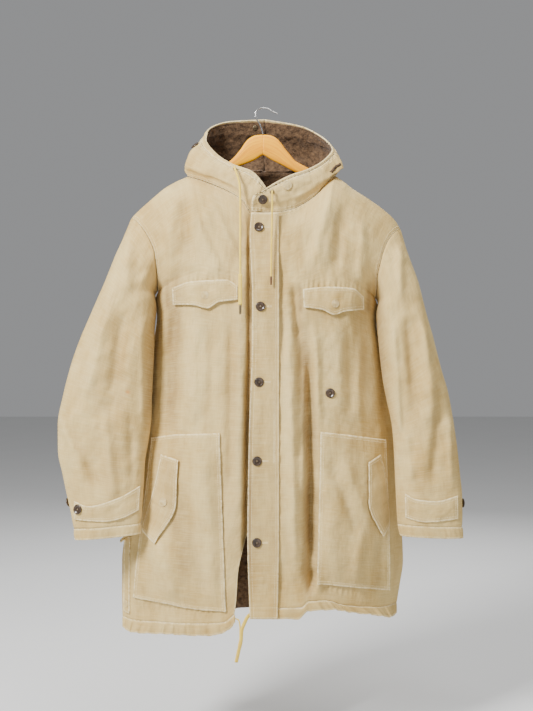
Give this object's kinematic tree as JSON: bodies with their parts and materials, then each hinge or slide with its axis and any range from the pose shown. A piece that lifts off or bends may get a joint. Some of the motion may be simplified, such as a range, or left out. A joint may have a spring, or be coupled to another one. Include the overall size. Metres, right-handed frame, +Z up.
{
  "type": "military parka on a wooden hanger",
  "caption": "Hip-length hooded military parka, button placket, flapped pockets and tabbed cuffs, hanging open-necked on a plain wooden hanger.",
  "frame": {"origin": "inner crest of the hanger's hook, where the rail or nail carries it", "axes": "+Z up, the front of the parka faces -Y, +X is the viewer's right"},
  "size_m": [0.8805, 0.2274, 1.1967],
  "materials": {
    "back": "matt sand-coloured cotton sateen",
    "button_collar": "dark brown four-hole button, glossy",
    "button_cuff_left": "dark brown four-hole button, glossy",
    "button_cuff_left_back": "dark brown four-hole button, glossy",
    "button_cuff_right": "dark brown four-hole button, glossy",
    "button_front_1": "dark brown four-hole button, glossy",
    "button_front_2": "dark brown four-hole button, glossy",
    "button_front_3": "dark brown four-hole button, glossy",
    "button_front_4": "dark brown four-hole button, glossy",
    "button_front_5": "dark brown four-hole button, glossy",
    "button_hood_left": "dark brown four-hole button, glossy",
    "button_storm": "dark brown four-hole button, glossy",
    "cuff_left": "matt sand-coloured cotton sateen",
    "cuff_right": "matt sand-coloured cotton sateen",
    "cuff_tab_left": "matt sand-coloured cotton sateen",
    "cuff_tab_right": "matt sand-coloured cotton sateen",
    "flap_chest_left": "matt sand-coloured cotton sateen",
    "flap_chest_right": "matt sand-coloured cotton sateen",
    "flap_hand_left": "matt sand-coloured cotton sateen",
    "flap_hand_right": "matt sand-coloured cotton sateen",
    "front_left": "matt sand-coloured cotton sateen",
    "front_right": "matt sand-coloured cotton sateen",
    "hanger_hook": "bright plated wire",
    "hanger_wood": "clear-varnished hardwood",
    "hem_back": "matt sand-coloured cotton sateen",
    "hem_cord_left": "braided cotton, pale yellow",
    "hem_cord_right": "braided cotton, pale yellow",
    "hem_left": "matt sand-coloured cotton sateen",
    "hem_right": "matt sand-coloured cotton sateen",
    "hood_cord_left": "braided cotton, pale yellow",
    "hood_cord_left_aglet": "dark brown tip",
    "hood_cord_left_eyelet": "aged brass",
    "hood_cord_left_fold": "braided cotton, pale yellow",
    "hood_cord_right": "braided cotton, pale yellow",
    "hood_cord_right_aglet": "dark brown tip",
    "hood_cord_right_eyelet": "aged brass",
    "hood_left": "matt sand-coloured cotton sateen",
    "hood_lining_left": "deep brown wool pile",
    "hood_lining_right": "deep brown wool pile",
    "hood_right": "matt sand-coloured cotton sateen",
    "hood_rim_left": "matt sand-coloured cotton sateen",
    "hood_rim_right": "matt sand-coloured cotton sateen",
    "lining_back": "deep brown wool pile",
    "placket": "matt sand-coloured cotton sateen",
    "pocket_lower_left": "matt sand-coloured cotton sateen",
    "pocket_lower_right": "matt sand-coloured cotton sateen",
    "side_strip_left": "matt sand-coloured cotton sateen",
    "sleeve_left": "matt sand-coloured cotton sateen",
    "sleeve_right": "matt sand-coloured cotton sateen",
    "snap_chest_left": "snap cap covered in the same cloth",
    "snap_chest_right": "snap cap covered in the same cloth",
    "snap_collar": "aged brass",
    "snap_hand_left": "snap cap covered in the same cloth",
    "snap_hood": "aged brass",
    "snap_side_left": "snap cap covered in the same cloth"
  },
  "bodies": {
    "root": {"back": "back", "button_collar": "button_collar", "button_cuff_left": "button_cuff_left", "button_cuff_left_back": "button_cuff_left_back", "button_cuff_right": "button_cuff_right", "button_front_1": "button_front_1", "button_front_2": "button_front_2", "button_front_3": "button_front_3", "button_front_4": "button_front_4", "button_front_5": "button_front_5", "button_hood_left": "button_hood_left", "button_storm": "button_storm", "cuff_left": "cuff_left", "cuff_right": "cuff_right", "cuff_tab_left": "cuff_tab_left", "cuff_tab_right": "cuff_tab_right", "flap_chest_left": "flap_chest_left", "flap_chest_right": "flap_chest_right", "flap_hand_left": "flap_hand_left", "flap_hand_right": "flap_hand_right", "front_left": "front_left", "front_right": "front_right", "hanger_hook": "hanger_hook", "hanger_wood": "hanger_wood", "hem_back": "hem_back", "hem_cord_left": "hem_cord_left", "hem_cord_right": "hem_cord_right", "hem_left": "hem_left", "hem_right": "hem_right", "hood_cord_left": "hood_cord_left", "hood_cord_left_aglet": "hood_cord_left_aglet", "hood_cord_left_eyelet": "hood_cord_left_eyelet", "hood_cord_left_fold": "hood_cord_left_fold", "hood_cord_right": "hood_cord_right", "hood_cord_right_aglet": "hood_cord_right_aglet", "hood_cord_right_eyelet": "hood_cord_right_eyelet", "hood_left": "hood_left", "hood_lining_left": "hood_lining_left", "hood_lining_right": "hood_lining_right", "hood_right": "hood_right", "hood_rim_left": "hood_rim_left", "hood_rim_right": "hood_rim_right", "lining_back": "lining_back", "placket": "placket", "pocket_lower_left": "pocket_lower_left", "pocket_lower_right": "pocket_lower_right", "side_strip_left": "side_strip_left", "sleeve_left": "sleeve_left", "sleeve_right": "sleeve_right", "snap_chest_left": "snap_chest_left", "snap_chest_right": "snap_chest_right", "snap_collar": "snap_collar", "snap_hand_left": "snap_hand_left", "snap_hood": "snap_hood", "snap_side_left": "snap_side_left"}
  },
  "joints": []
}
